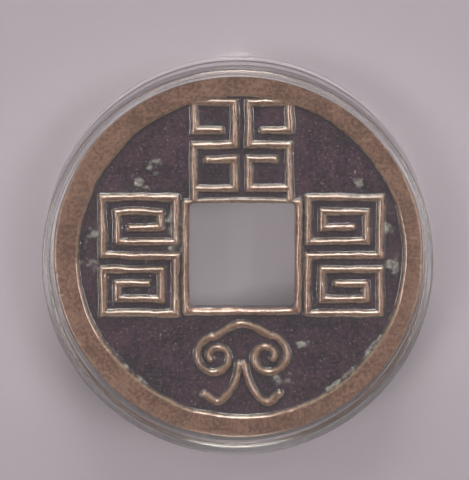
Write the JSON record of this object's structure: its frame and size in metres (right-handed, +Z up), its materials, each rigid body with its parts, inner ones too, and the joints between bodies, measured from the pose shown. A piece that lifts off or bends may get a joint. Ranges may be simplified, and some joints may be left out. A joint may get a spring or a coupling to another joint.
{
  "type": "cash coin in capsule",
  "caption": "Cast bronze coin with a square hole, raised rims and fret and cloud relief, in a clear round capsule whose lid lifts off.",
  "frame": {"origin": "centre of the capsule's foot ring, on the surface that it stands on", "axes": "+Z up, out of the coin's front face and square to the capsule's windows; +Y towards the ornament above the square hole, and towards the small gate stub on the lower shell"},
  "size_m": [0.0256, 0.0259, 0.0065],
  "materials": {
    "bronze": "worn brown bronze with a dark mottled field, pale crusts and satin raised lines",
    "clear_shell": "clear polished plastic, lightly rubbed"
  },
  "bodies": {
    "base": {"capsule_base": "clear_shell"},
    "coin": {"coin": "bronze"},
    "lid": {"capsule_lid": "clear_shell"}
  },
  "joints": [
    {"name": "coin_lift", "type": "slide", "parent": "base", "child": "coin", "axis": [0, 0, 1], "range_m": [0, 0.012]},
    {"name": "lid_lift", "type": "slide", "parent": "coin", "child": "lid", "axis": [0, 0, 1], "range_m": [0, 0.012]}
  ]
}
